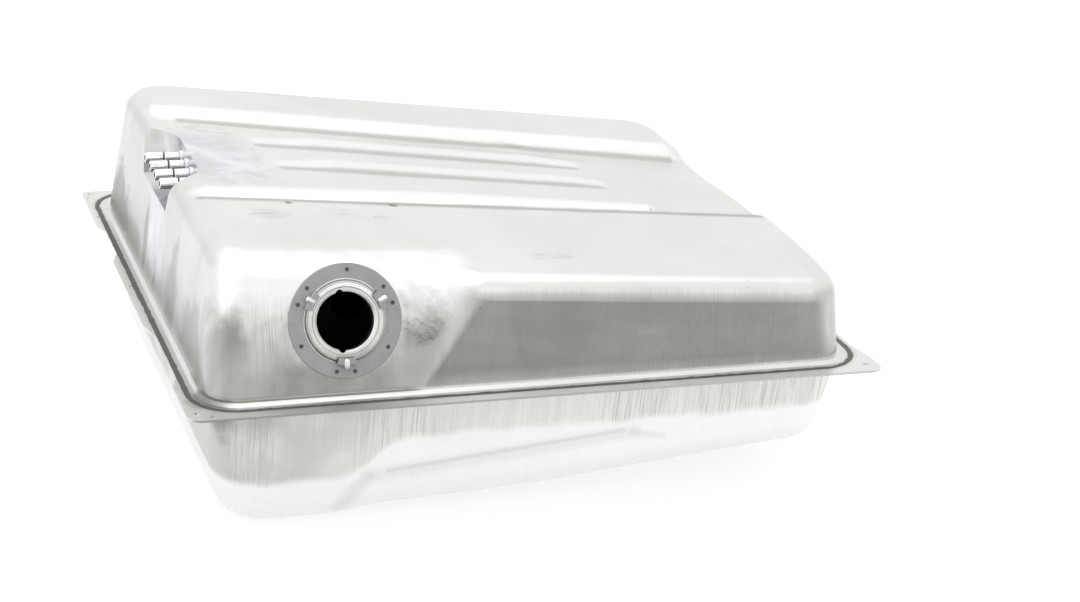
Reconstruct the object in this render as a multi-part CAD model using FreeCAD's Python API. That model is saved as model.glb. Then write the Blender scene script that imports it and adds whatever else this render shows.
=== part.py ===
import FreeCAD, Part
import math
import os

os.makedirs("parts", exist_ok=True)

# Car fuel tank of terne-plated steel sheet, in millimetres.
# X runs along the sender side, Y away from it, Z up.
# The origin is the middle of the seam plane, where the two stampings meet.

V = FreeCAD.Vector

# Sheet and seam flange
SHEET = 1.0
SEAM_X = 694.0
SEAM_Y = 623.0
SEAM_CORNER_R = 45.0
TRACK_WIDTH = 6.5
TRACK_DEPTH = 0.3
RIDGE_HEIGHT = 3.0
RIDGE_SLOPE = 5.0
RIDGE_GAP = 5.0

# Walls, measured where they meet the seam plane
WALL_INSET = 14.0
DRAFT_LEFT = 5.5
DRAFT_RIGHT = 4.0
DRAFT_REAR = 5.0
DRAFT_FRONT = 4.0
DRAFT_LOWER = 6.0
DRAFT_LOWER_LEFT = 9.0
TOP_STACK = 170.0
LOWER_STACK = 175.0
TOP_EDGE_R = 24.0
LOWER_EDGE_R = 30.0

# Top: heights at the left and right ends of the seam for its steps
REAR_STEP = (153.5, 74.0)
CHANNEL_REAR = (146.0, 57.0)
CHANNEL_FRONT = (145.0, 68.0)
FRONT_STEP = (138.0, 90.0)

# Ribs on the top: ends, line at both ends, step they stand on, width, height, length of each run-out
RIBS = (
    (-200, 206, 112, 122, CHANNEL_REAR, 46, 4.5, (58, 90)),
    (-194, 212, 36, 44, (145.5, 62.5), 46, 4.5, (58, 70)),
    (-306, 190, -64, -82, FRONT_STEP, 38, 6.5, (16, 250)),
    (-306, 20, 186, 188, REAR_STEP, 30, 3.0, (16, 200)),
)
RIB_DEPTH = 18.0
RIB_SPREAD = 12.0

# Creases at the feet of the two steps: ends, line at both ends, step
CREASES = (
    (-298, 300, -83, -104, FRONT_STEP),
    (-268, 294, 170, 174, CHANNEL_REAR),
)

# Sender pad on the left half of the front wall
PAD_TILT = 18.0
PAD_END = -131.0
PAD_BLEND = 10.0
PAD_SPREAD = 96.0
SENDER_X = -196.0
SENDER_Z = 71.0
SENDER_HOLE_R = 28.0
SEAT_R = 40.0
SEAT_HEIGHT = 2.5
NOTCH_WIDTH = 7.5
NOTCH_DEPTH = 3.0

# Sender ring
RING_R = 56.3
RING_BORE_R = SEAT_R + 1.5
RING_SHEET = 1.6
LUG_REACH = 6.0
LUG_HEIGHT = 7.5
LUG_ARC = 26.0
LUG_ANGLES = (28.0, 148.0, 268.0)

# Vent tubes at the rear left of the top
VENT_COUNT = 4
VENT_FIRST_Y = 2.0
VENT_PITCH = 28.0
VENT_Z = 121.0
VENT_R = 4.2
VENT_BORE_R = 3.2
SLEEVE_R = 6.0
SLEEVE_LENGTH = 19.0
SLEEVE_TIP_X = -326.0
POCKET_WALL_X = -284.0
POCKET_FLOOR_Z = 103.0
POCKET_SIDE = 24.0

# Filler collar on the rear wall
FILLER_X = 40.0
FILLER_Z = 56.0
FILLER_R = 25.0
FILLER_REACH = 16.0

# Baffle under the front step
SEAT_GAP = 0.3
BAFFLE_Y = -128.0
BAFFLE_X = (-285.0, 240.0)
BAFFLE_FLOOR = -82.0
BAFFLE_SHEET = 1.2
BAFFLE_FLANGE = 16.0
BAFFLE_HOLE_R = 19.0
BAFFLE_HOLES = 6

# Clips for the tube runs: place along X and the tubes each one holds
CLIPS = ((-258.0, (0, 1, 2, 3)), (-60.0, (1, 2)), (110.0, (1, 2)))
CLIP_SHEET = 1.2
CLIP_FLANGE = 14.0
RUN_START_X = -252.0
RUN_END = (150.0, 60.0)


def z_along(step, x):
    """Height of a top step at x."""
    part = (x + SEAM_X / 2) / SEAM_X
    return step[0] + (step[1] - step[0]) * part


def inset_corners(corners, d):
    """Move every side of a closed outline inwards by d."""
    count = len(corners)
    moved = []
    for i in range(count):
        x0, y0 = corners[i - 1][:2]
        x1, y1, r = corners[i]
        x2, y2 = corners[(i + 1) % count][:2]
        a = V(x1 - x0, y1 - y0, 0).normalize()
        b = V(x2 - x1, y2 - y1, 0).normalize()
        turn = a.x * b.y - a.y * b.x
        shift = (b - a) * (d / turn)
        moved.append((x1 + shift.x, y1 + shift.y, r - d if turn > 0 else r + d))
    return moved


def outline(corners, z):
    """Closed wire of straight sides joined by arcs, one arc at each corner."""
    count = len(corners)
    ends = []
    for i in range(count):
        p0 = V(corners[i - 1][0], corners[i - 1][1], z)
        p1 = V(corners[i][0], corners[i][1], z)
        p2 = V(corners[(i + 1) % count][0], corners[(i + 1) % count][1], z)
        a = (p0 - p1).normalize()
        b = (p2 - p1).normalize()
        half = a.getAngle(b) / 2
        r = corners[i][2]
        run = r / math.tan(half)
        middle = (a + b).normalize() * (r / math.sin(half) - r)
        ends.append((p1 + a * run, p1 + middle, p1 + b * run))
    edges = []
    for i in range(count):
        start, mid, end = ends[i]
        edges.append(Part.Arc(start, mid, end).toShape())
        edges.append(Part.makeLine(end, ends[(i + 1) % count][0]))
    return Part.Wire(edges)


def slab(corners, z0, z1):
    """Flat plate between two heights."""
    return Part.Face(outline(corners, z0)).extrude(V(0, 0, z1 - z0))


def rectangle(x, y, r):
    """Corners of a centred rectangle, anticlockwise from the front left."""
    return [(-x / 2, -y / 2, r), (x / 2, -y / 2, r), (x / 2, y / 2, r), (-x / 2, y / 2, r)]


WALL_X = SEAM_X / 2 - WALL_INSET
WALL_Y = SEAM_Y / 2 - WALL_INSET
WALL_R = SEAM_CORNER_R - WALL_INSET

FLANGE_OUTLINE = [
    (-357.5, -327, 14), (362.5, -327, 12), (362.5, -298, 10), (354, -254, 20),
    (354, 258, 20), (362.5, 290, 10), (362.5, 322, 12), (-357.5, 322, 10),
    (-357.5, 203, 4), (-350.5, 192, 6), (-350.5, 118, 16), (-358, 97, 16),
    (-358, -88, 24), (-350.5, -122, 24), (-350.5, -225, 16), (-357.5, -246, 14),
]

# Small pilot holes of the flange as x, y, radius, then the mounting holes of its four ears
FLANGE_HOLES = [
    (-334, -319, 2.2), (352, -219, 1.8), (-352, 301, 2.2), (-351.5, 235, 1.6), (-352.5, 20, 1.8),
]
BOLT_X = 348.0
BOLT_Y = 311.0
BOLT_HOLE_R = 3.4


def pad_y(z):
    """Front face of the sender pad at a height."""
    return -WALL_Y + 0.8 + z * math.tan(math.radians(PAD_TILT))


def upper_walls(z):
    """Wall outline of the upper stamping at a height."""
    left = -WALL_X + z * math.tan(math.radians(DRAFT_LEFT))
    right = WALL_X - z * math.tan(math.radians(DRAFT_RIGHT))
    rear = WALL_Y - z * math.tan(math.radians(DRAFT_REAR))
    front = -WALL_Y + z * math.tan(math.radians(DRAFT_FRONT))
    grow = z / TOP_STACK
    return [
        (left, pad_y(z), WALL_R + 26 * grow),
        (PAD_END, pad_y(z), 30 + 40 * grow),
        (PAD_END + PAD_BLEND + PAD_SPREAD * grow, front, 30 + 40 * grow),
        (right, front, WALL_R + 22 * grow),
        (right, rear, WALL_R + 44 * grow),
        (left, rear, WALL_R + 30 * grow),
    ]


def spline_edge(points, high):
    """Closed outline from a smooth line through to a straight line at another height."""
    curve = Part.BSplineCurve()
    curve.buildFromPoles(points, False, 3)
    a = points[0]
    b = points[-1]
    c = V(b.x, b.y, high)
    e = V(a.x, a.y, high)
    return Part.Wire([curve.toShape(), Part.makeLine(b, c), Part.makeLine(c, e), Part.makeLine(e, a)])


def crown(x, d):
    """Cutting outline above the whole top, in the plane at x."""
    rear = z_along(REAR_STEP, x) - d
    front = z_along(FRONT_STEP, x) - d
    poles = [(-420, front - 30), (-330, front - 16), (-262, front - 3), (-200, front), (-100, front),
             (0, (front + rear) / 2), (100, rear), (200, rear), (300, rear - 1), (420, rear - 8)]
    return spline_edge([V(x, y, z) for y, z in poles], 400)


def channel(x, d):
    """Cutting outline of the sunk middle of the top, in the plane at x."""
    rear = z_along(REAR_STEP, x) - d
    low_rear = z_along(CHANNEL_REAR, x) - d
    low_front = z_along(CHANNEL_FRONT, x) - d
    front = z_along(FRONT_STEP, x) - d
    slant = 0.03 * x
    poles = [(-122 - d - slant, front + 26), (-104 - d - slant, front + 10), (-92 - d - slant, front + 1.5),
             (-82 - slant, low_front), (-66 - slant, low_front), (-20, low_front),
             (60, (low_rear + low_front) / 2), (120, low_rear), (160, low_rear), (172, low_rear),
             (186 + d, rear), (198 + d, rear + 8), (216 + d, rear + 24)]
    return spline_edge([V(x, y, z) for y, z in poles], 400)


def widest_face(solid, low, high):
    """Largest face whose middle lies between two heights."""
    return max([f for f in solid.Faces if low < f.CenterOfMass.z < high], key=lambda f: f.Area)


def upper_form(d):
    """Solid form of the upper stamping: d is 0 for its outside, the sheet for its inside."""
    walls = Part.makeLoft([
        outline(inset_corners(upper_walls(0), d), 0),
        outline(inset_corners(upper_walls(TOP_STACK), d), TOP_STACK),
    ], True, True)
    body = walls.cut(Part.makeLoft([crown(-430, d), crown(430, d)], True, True))
    rim = widest_face(body, 60, 400).OuterWire.Edges
    body = body.makeFillet(TOP_EDGE_R - d, rim)
    return body.cut(Part.makeLoft([channel(-430, d), channel(430, d)], True, True))


def lower_walls(z):
    """Wall outline of the lower stamping at a depth."""
    drop = z * math.tan(math.radians(DRAFT_LOWER))
    left = -WALL_X + z * math.tan(math.radians(DRAFT_LOWER_LEFT))
    radius = WALL_R + 30 * z / LOWER_STACK
    return [
        (left, -WALL_Y + drop, radius), (WALL_X - drop, -WALL_Y + drop, radius),
        (WALL_X - drop, WALL_Y - drop, radius), (left, WALL_Y - drop, radius),
    ]


def bottom(y, d):
    """Cutting outline below the bottom, in the plane at y."""
    poles = [
        (-430, -138), (-330, -139.5), (-300, -140), (-270, -140), (-240, -140), (-212, -140),
        (-190, -139.5), (-168, -134), (-142, -132), (-110, -131), (0, -126), (60, -119.5),
        (140, -111), (250, -100), (430, -84),
    ]
    return spline_edge([V(x, y, z + d) for x, z in poles], -400)


def lower_form(d):
    """Solid form of the lower stamping, outside or inside."""
    walls = Part.makeLoft([
        outline(inset_corners(lower_walls(0), d), 0),
        outline(inset_corners(lower_walls(LOWER_STACK), d), -LOWER_STACK),
    ], True, True)
    body = walls.cut(Part.makeLoft([bottom(-430, d), bottom(430, d)], True, True))
    rim = widest_face(body, -400, -60).OuterWire.Edges
    return body.makeFillet(LOWER_EDGE_R - d, rim)


def ridge(d, side):
    """Raised shelf between the wall and the weld track; side is 1 above the seam, -1 below."""
    foot = rectangle(SEAM_X - TRACK_WIDTH - 2 * RIDGE_GAP + 4, SEAM_Y - TRACK_WIDTH - 2 * RIDGE_GAP + 4,
                     SEAM_CORNER_R - TRACK_WIDTH / 2 - RIDGE_GAP + 2)
    crest = inset_corners(foot, RIDGE_SLOPE)
    return Part.makeLoft([
        outline(inset_corners(foot, d), 0),
        outline(inset_corners(crest, d), side * (RIDGE_HEIGHT + SHEET - d)),
    ], True, True)


def seam_flange(side):
    """Flat seam flange of one stamping, with its weld track and holes."""
    plate = slab(FLANGE_OUTLINE, 0, side * SHEET)
    track = rectangle(SEAM_X + TRACK_WIDTH, SEAM_Y + TRACK_WIDTH, SEAM_CORNER_R + TRACK_WIDTH / 2)
    floor = side * (SHEET - TRACK_DEPTH)
    groove = slab(track, floor, side * 2 * SHEET).cut(
        slab(inset_corners(track, TRACK_WIDTH), floor, side * 2 * SHEET))
    plate = plate.cut(groove)
    ears = [(sx * BOLT_X, sy * BOLT_Y, BOLT_HOLE_R) for sx in (-1, 1) for sy in (-1, 1)]
    for x, y, r in FLANGE_HOLES + ears:
        plate = plate.cut(Part.makeCylinder(r, 4 * SHEET, V(x, y, -2 * SHEET)))
    return plate


def rib(x0, x1, y0, y1, step, width, height, tapers, d):
    """Raised lengthwise rib on a step of the top, running out at both ends."""
    sections = []
    for x, share in ((x0, 0.06), (x0 + tapers[0], 1.0), (x1 - tapers[1], 1.0), (x1, 0.06)):
        y = y0 + (y1 - y0) * (x - x0) / (x1 - x0)
        base = z_along(step, x) - d
        half = width * (0.25 + 0.75 * share) / 2 - d
        left = V(x, y - half, base - 0.3)
        right = V(x, y + half, base - 0.3)
        left_foot = left - V(0, RIB_SPREAD, RIB_DEPTH)
        right_foot = right - V(0, -RIB_SPREAD, RIB_DEPTH)
        sections.append(Part.Wire([
            Part.Arc(left, V(x, y, base + height * share), right).toShape(),
            Part.makeLine(right, right_foot), Part.makeLine(right_foot, left_foot), Part.makeLine(left_foot, left),
        ]))
    return Part.makeLoft(sections, True, True)


def crease(x0, x1, y0, y1, step, d):
    """Round-bottomed crease along the foot of a step."""
    r = 5.0
    a = V(x0, y0, z_along(step, x0) + r - 1.3)
    b = V(x1, y1, z_along(step, x1) + r - 1.3)
    bar = Part.makeCylinder(r + d, (b - a).Length, a, b - a)
    return bar.fuse(Part.makeSphere(r + d, a)).fuse(Part.makeSphere(r + d, b))


def pocket(d):
    """Sunk corner pocket that the vent tubes come out of."""
    span = (VENT_FIRST_Y - POCKET_SIDE, VENT_FIRST_Y + VENT_PITCH * (VENT_COUNT - 1) + POCKET_SIDE)
    low = [(-460, span[0] + 4, 10), (POCKET_WALL_X - 2, span[0] + 4, 20),
           (POCKET_WALL_X - 2, span[1] - 4, 20), (-460, span[1] - 4, 10)]
    high = [(-460, span[0] - 22, 10), (POCKET_WALL_X + 6, span[0] - 22, 34),
            (POCKET_WALL_X + 6, span[1] + 22, 34), (-460, span[1] + 22, 10)]
    block = Part.makeLoft([
        outline(inset_corners(low, -d), POCKET_FLOOR_Z - d),
        outline(inset_corners(high, -d), POCKET_FLOOR_Z + 70),
    ], True, True)
    block.rotate(V(POCKET_WALL_X, 0, POCKET_FLOOR_Z), V(0, 1, 0), -8)
    return block


SENDER_AXIS = V(0, -math.cos(math.radians(PAD_TILT)), math.sin(math.radians(PAD_TILT)))
SENDER_CENTRE = V(SENDER_X, pad_y(SENDER_Z), SENDER_Z)
SENDER_UP = V(0, math.sin(math.radians(PAD_TILT)), math.cos(math.radians(PAD_TILT)))


def sender_turned(profile, angle):
    """Turn a profile of radius and height points about the sender axis."""
    points = [SENDER_CENTRE + V(1, 0, 0) * r + SENDER_AXIS * h for r, h in profile]
    face = Part.Face(Part.makePolygon(points + points[:1]))
    return face.revolve(SENDER_CENTRE, SENDER_AXIS, angle)


def sender_cylinder(r, low, high, angle=0.0, reach=0.0):
    """Cylinder on the sender axis, or beside it at an angle and reach."""
    side = V(1, 0, 0) * math.cos(math.radians(angle)) + SENDER_UP * math.sin(math.radians(angle))
    base = SENDER_CENTRE + side * reach + SENDER_AXIS * low
    return Part.makeCylinder(r, high - low, base, SENDER_AXIS)


def vent_y(i):
    return VENT_FIRST_Y + VENT_PITCH * i


def filler_mouth():
    """Point where the filler axis meets the rear wall."""
    return V(FILLER_X, WALL_Y - FILLER_Z * math.tan(math.radians(DRAFT_REAR)), FILLER_Z)


def upper_surface(d):
    """Whole drawn form of the upper stamping above the seam, outside or inside."""
    form = upper_form(d)
    for settings in RIBS:
        form = form.fuse(rib(*settings, d))
    for settings in CREASES:
        form = form.cut(crease(*settings, d))
    return form.cut(pocket(d))


def make_upper():
    outside = upper_surface(0).fuse(ridge(0, 1))
    inside = upper_surface(SHEET).fuse(ridge(SHEET, 1))
    shell = seam_flange(1).fuse(outside).cut(inside)

    shell = shell.cut(sender_cylinder(SEAT_R, -12, 12))
    lip = [
        (SEAT_R + 0.4, -SHEET), (SEAT_R + 0.4, 0), (SEAT_R - 1.2, SEAT_HEIGHT), (SENDER_HOLE_R + 6, SEAT_HEIGHT),
        (SENDER_HOLE_R + 2.6, SEAT_HEIGHT - 0.6), (SENDER_HOLE_R + 0.6, SEAT_HEIGHT - 2),
        (SENDER_HOLE_R, SEAT_HEIGHT - 4), (SENDER_HOLE_R, SEAT_HEIGHT - 9),
        (SENDER_HOLE_R + SHEET, SEAT_HEIGHT - 9), (SENDER_HOLE_R + SHEET, SEAT_HEIGHT - 4),
        (SENDER_HOLE_R + 1.8, SEAT_HEIGHT - 2.6), (SENDER_HOLE_R + 3.2, SEAT_HEIGHT - 1.6),
        (SENDER_HOLE_R + 6, SEAT_HEIGHT - SHEET), (SEAT_R - 1.9, SEAT_HEIGHT - SHEET), (SEAT_R - 0.6, -SHEET),
    ]
    shell = shell.fuse(sender_turned(lip, 360))
    for angle in (100.0, 262.0):
        shell = shell.cut(sender_cylinder(NOTCH_WIDTH / 2, -8, 8, angle, SENDER_HOLE_R + NOTCH_DEPTH - NOTCH_WIDTH / 2))

    for i in range(VENT_COUNT):
        shell = shell.cut(Part.makeCylinder(VENT_R, 60, V(POCKET_WALL_X - 24, vent_y(i), VENT_Z), V(1, 0, 0)))
    return shell.cut(Part.makeCylinder(FILLER_R, 40, filler_mouth() - V(0, 20, 0), V(0, 1, 0)))


def make_lower():
    outside = seam_flange(-1).fuse(ridge(0, -1)).fuse(lower_form(0))
    return outside.cut(ridge(SHEET, -1)).cut(lower_form(SHEET))


def make_sender_ring():
    ring = sender_turned([(RING_BORE_R, 0), (RING_R, 0), (RING_R, 1.1), (RING_R - 0.5, RING_SHEET),
                          (RING_BORE_R, RING_SHEET)], 360)
    hook = [
        (RING_BORE_R, 0), (RING_BORE_R + 2, 0), (RING_BORE_R + 2, RING_SHEET),
        (RING_BORE_R + 1.6, LUG_HEIGHT - 0.8), (RING_BORE_R + 0.4, LUG_HEIGHT),
        (RING_BORE_R - LUG_REACH, LUG_HEIGHT), (RING_BORE_R - LUG_REACH, LUG_HEIGHT - RING_SHEET),
        (RING_BORE_R, LUG_HEIGHT - RING_SHEET),
    ]
    for angle in LUG_ANGLES:
        lug = sender_turned(hook, LUG_ARC)
        lug.rotate(SENDER_CENTRE, SENDER_AXIS, angle - LUG_ARC / 2)
        ring = ring.fuse(lug)
    for angle in LUG_ANGLES:
        for offset in (-10.5, 10.5, 58.0):
            ring = ring.cut(sender_cylinder(1.3, RING_SHEET - 0.5, RING_SHEET + 1, angle + offset, RING_R - 6.5))
    return ring


def vent_path(i):
    """Middle line of a vent tube from its tip to its corner of the tank."""
    y = vent_y(i)
    start = V(SLEEVE_TIP_X + 4, y, VENT_Z)
    inner = V(RUN_START_X, y, VENT_Z)
    if i == 0:
        return [start, inner, V(-196, -120, 116), V(-180, -200, 116)]
    if i == VENT_COUNT - 1:
        return [start, inner, V(-200, 150, 116), V(-180, 222, 116)]
    side = -1 if i == 1 else 1
    return [start, inner, V(RUN_END[0], y, RUN_END[1]), V(222, 205 * side, 80 if i == 1 else 58)]


def pipe(points, bend, r):
    """Solid rod along straight runs joined by bends."""
    edges = []
    last = points[0]
    for i in range(1, len(points) - 1):
        a = (points[i - 1] - points[i]).normalize()
        b = (points[i + 1] - points[i]).normalize()
        half = a.getAngle(b) / 2
        run = bend / math.tan(half)
        middle = (a + b).normalize() * (bend / math.sin(half) - bend)
        edges.append(Part.makeLine(last, points[i] + a * run))
        edges.append(Part.Arc(points[i] + a * run, points[i] + middle, points[i] + b * run).toShape())
        last = points[i] + b * run
    edges.append(Part.makeLine(last, points[-1]))
    ring = Part.Wire(Part.makeCircle(r, points[0], points[1] - points[0]))
    return Part.Wire(edges).makePipeShell([ring], True, False)


def make_vent_tube(i):
    return pipe(vent_path(i), 18, VENT_R).cut(pipe(vent_path(i), 18, VENT_BORE_R))


def make_vent_sleeve(i):
    tip = V(SLEEVE_TIP_X, vent_y(i), VENT_Z)
    body = Part.makeCylinder(SLEEVE_R, SLEEVE_LENGTH, tip, V(1, 0, 0))
    body = body.makeChamfer(0.8, [e for e in body.Edges if e.Closed])
    body = body.cut(Part.makeCylinder(VENT_R, SLEEVE_LENGTH, tip + V(4, 0, 0), V(1, 0, 0)))
    return body.cut(Part.makeCylinder(VENT_BORE_R, SLEEVE_LENGTH, tip - V(1, 0, 0), V(1, 0, 0)))


def make_filler_collar():
    profile = [(FILLER_R - 2, -8), (FILLER_R, -8), (FILLER_R, 2.6), (FILLER_R + 7, 2.6), (FILLER_R + 7, 4.2),
               (FILLER_R + 1.2, 4.2), (FILLER_R, 6), (FILLER_R, FILLER_REACH - 3), (FILLER_R + 1.2, FILLER_REACH),
               (FILLER_R - 0.8, FILLER_REACH), (FILLER_R - 2, FILLER_REACH - 3)]
    mouth = filler_mouth()
    points = [mouth + V(r, h, 0) for r, h in profile]
    face = Part.Face(Part.makePolygon(points + points[:1]))
    return face.revolve(mouth, V(0, 1, 0), 360)


def seated_plate(box, flange_box, layers):
    """Upright plate under the top with a flange bent along the sheet above it."""
    web = layers[0].common(box)
    return web.fuse(layers[0].cut(layers[1]).common(flange_box))


def make_baffle(layers):
    x0, x1 = BAFFLE_X
    length = x1 - x0
    box = Part.makeBox(length, BAFFLE_SHEET, 240, V(x0, BAFFLE_Y, 0))
    lip = Part.makeBox(length, BAFFLE_FLANGE, 240, V(x0, BAFFLE_Y, 20))
    plate = seated_plate(box, lip, layers)
    plate = plate.fuse(Part.makeBox(length, BAFFLE_SHEET, -BAFFLE_FLOOR, V(x0, BAFFLE_Y, BAFFLE_FLOOR)))
    pitch = length / BAFFLE_HOLES
    for i in range(BAFFLE_HOLES):
        for z in (-36, 30):
            plate = plate.cut(Part.makeCylinder(BAFFLE_HOLE_R, 8, V(x0 + pitch * (i + 0.5), BAFFLE_Y - 4, z), V(0, 1, 0)))
    for i in (0, 1):
        plate = plate.cut(pipe(vent_path(i), 18, VENT_R + 2))
    return plate


def make_clip(x, held, layers):
    y0 = vent_y(held[0]) - 14
    y1 = vent_y(held[-1]) + 14
    z = VENT_Z + (RUN_END[1] - VENT_Z) * max(0, (x - RUN_START_X) / (RUN_END[0] - RUN_START_X))
    box = Part.makeBox(CLIP_SHEET, y1 - y0, 80, V(x, y0, z - 9))
    lip = Part.makeBox(CLIP_FLANGE, y1 - y0, 80, V(x, y0, z + 6))
    plate = seated_plate(box, lip, layers)
    for i in held:
        plate = plate.cut(pipe(vent_path(i), 18, VENT_R + SEAT_GAP))
    return plate


layers = (upper_surface(SHEET + SEAT_GAP), upper_surface(SHEET + SEAT_GAP + BAFFLE_SHEET))
parts = {
    "upper_shell": make_upper(),
    "lower_shell": make_lower(),
    "sender_ring": make_sender_ring(),
    "filler_collar": make_filler_collar(),
    "baffle": make_baffle(layers),
}
for i, (x, held) in enumerate(CLIPS):
    parts["vent_clip_%d" % (i + 1)] = make_clip(x, held, layers)
for i in range(VENT_COUNT):
    parts["vent_tube_%d" % (i + 1)] = make_vent_tube(i)
    parts["vent_sleeve_%d" % (i + 1)] = make_vent_sleeve(i)

for name, shape in parts.items():
    shape.exportStep("parts/%s.step" % name)
    print(name, shape.isValid(), len(shape.Solids), round(shape.Volume / 1000, 1), len(shape.Faces))
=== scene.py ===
import math

import bmesh
import bpy
import numpy as np
from mathutils import Matrix, Vector
from mathutils.bvhtree import BVHTree


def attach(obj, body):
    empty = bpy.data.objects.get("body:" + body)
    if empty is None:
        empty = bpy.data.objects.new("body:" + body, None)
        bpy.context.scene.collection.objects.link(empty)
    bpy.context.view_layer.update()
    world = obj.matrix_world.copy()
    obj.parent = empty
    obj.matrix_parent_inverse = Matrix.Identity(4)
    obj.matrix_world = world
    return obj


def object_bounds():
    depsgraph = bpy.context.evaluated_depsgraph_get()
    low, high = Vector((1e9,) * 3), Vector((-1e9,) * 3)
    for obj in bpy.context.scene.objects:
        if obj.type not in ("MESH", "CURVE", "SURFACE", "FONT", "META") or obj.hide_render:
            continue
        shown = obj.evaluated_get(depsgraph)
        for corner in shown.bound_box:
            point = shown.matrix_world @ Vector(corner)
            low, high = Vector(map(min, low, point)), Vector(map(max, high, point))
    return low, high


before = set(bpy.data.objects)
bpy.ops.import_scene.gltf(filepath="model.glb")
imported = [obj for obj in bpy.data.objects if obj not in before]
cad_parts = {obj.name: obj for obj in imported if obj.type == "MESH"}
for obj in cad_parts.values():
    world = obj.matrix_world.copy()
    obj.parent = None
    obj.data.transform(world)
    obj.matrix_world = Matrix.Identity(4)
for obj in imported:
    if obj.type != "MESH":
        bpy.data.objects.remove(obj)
cad_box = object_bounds()

# Places on the tank that the finishes follow, in metres
SEAM_HALF = (0.347, 0.3115)
SEAM_CORNER = 0.045
TRACK_HALF = 0.0034
VENT_Y = (0.002, 0.030, 0.058, 0.086)
VENT_Z = 0.121
VENT_JOINT_X = -0.3065
FERRULE_X = -0.3058
POCKET_WALL_X = -0.284
BEAD_R = 0.0054
BEAD_SECTION_R = 0.0019
SENDER_TILT = math.radians(18)
SENDER_CENTRE = Vector((-0.196, -0.2736, 0.071))
SENDER_UP = Vector((0, math.sin(SENDER_TILT), math.cos(SENDER_TILT)))
RING_WELD_R = 0.0498
RING_LUGS = (28, 148, 268)
RING_WELD_TURNS = (-10.5, 10.5, 58)
SENDER_AXIS = Vector((0, -math.cos(SENDER_TILT), math.sin(SENDER_TILT)))
RING_BORE = 0.0415
LUG_TOP = 0.0075
LUG_BEAD_R = 0.0026
# Grid of the finished top: its ends and steps, how far it stands proud and how that fades to its rim,
# the slope behind the rear rib, and the notch left for the vent pocket
PANEL_X = (-0.312, 0.312)
PANEL_Y = (-0.190, 0.234)
PANEL_STEP = (0.004, 0.002)
PANEL_PROUD = 0.0002
PANEL_FADE = 0.016
RAMP_Y = (0.157, 0.190)
NOTCH_X = -0.262
NOTCH_Y = (-0.058, 0.146)
# Feet of the long ribs on the top, with a painted highlight on each crest: start, end, half width of the
# painted shade line, how dark it is
RIB_FEET = (
    ((-0.300, -0.087, 0.129), (0.306, -0.108, 0.094), 0.0070, 0.75),
    ((-0.276, 0.157, 0.136), (0.306, 0.160, 0.064), 0.0062, 0.62),
    ((-0.200, 0.092, 0.124), (0.165, 0.099, 0.082), 0.0080, 0.55),
    ((-0.190, 0.016, 0.126), (0.170, 0.023, 0.086), 0.0080, 0.55),
)
# How far behind each foot line the painted highlight of the crest lies
RIB_LIGHT_SHIFT = 0.016
# Soft folds of the lower front wall, shown as painted shade lines: start, end, half width, how dark it is
WALL_FOLDS = (
    ((-0.165, -0.288, -0.090), (0.105, -0.290, -0.064), 0.012, 0.20),
    ((-0.150, -0.288, -0.086), (0.095, -0.290, -0.061), 0.0035, 0.28),
    ((-0.172, -0.288, -0.092), (-0.196, -0.280, -0.124), 0.010, 0.26),
    ((0.105, -0.290, -0.064), (0.138, -0.290, -0.071), 0.005, 0.22),
)
# Rubbed marks on the top: centre, reach
SMUDGES = (
    ((-0.238, -0.128, 0.126), (0.030, 0.016, 0.02)),
    ((-0.168, -0.118, 0.123), (0.020, 0.020, 0.02)),
    ((-0.125, -0.140, 0.118), (0.018, 0.014, 0.02)),
    ((-0.246, 0.135, 0.135), (0.040, 0.016, 0.02)),
    ((0.020, -0.235, 0.100), (0.030, 0.012, 0.02)),
    ((-0.165, 0.270, 0.128), (0.050, 0.012, 0.02)),
)
# Painted shade low on the left wall, below the vents and toward the back: centre, reach, how dark it is
WALL_SHADES = (
    ((-0.335, 0.215, 0.020), (0.040, 0.060, 0.060), 0.75),
    ((-0.335, 0.120, 0.012), (0.040, 0.060, 0.034), 0.55),
    ((-0.335, 0.062, 0.030), (0.040, 0.014, 0.060), 0.60),
    ((-0.335, 0.004, 0.026), (0.040, 0.013, 0.052), 0.60),
    ((-0.335, -0.085, 0.030), (0.040, 0.030, 0.075), 0.50),
    ((-0.335, -0.190, 0.020), (0.040, 0.060, 0.060), 0.45),
)
# Spot-weld marks of the baffle, and other single places: centre, reach
TOP_WELDS = ((-0.213, -0.097, 0.127), (-0.103, -0.098, 0.119), (0.199, -0.149, 0.095))
WELD_REACH = (0.0055, 0.0045, 0.006)
# Painted shade down the front left corner of pad and wall
FRONT_LEFT_CORNER_SHADE = ((-0.322, -0.280, 0.040), (0.038, 0.036, 0.095))
# Painted shade in the valley between the pad and the front wall
PAD_VALLEY_SHADE = ((-0.108, -0.281, 0.036), (0.040, 0.045, 0.046))
PAD_CREASES = ((-0.118, -0.262, 0.078), (0.030, 0.040, 0.046))
TOP_DENT = ((0.110, 0.170, 0.082), (0.032, 0.014, 0.020))
TIN_ROUND_VENTS = ((-0.266, 0.040, 0.128), (0.070, 0.110, 0.060))
TIN_RUNS = ((-0.322, 0.010, 0.070), (0.030, 0.055, 0.075))
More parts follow.
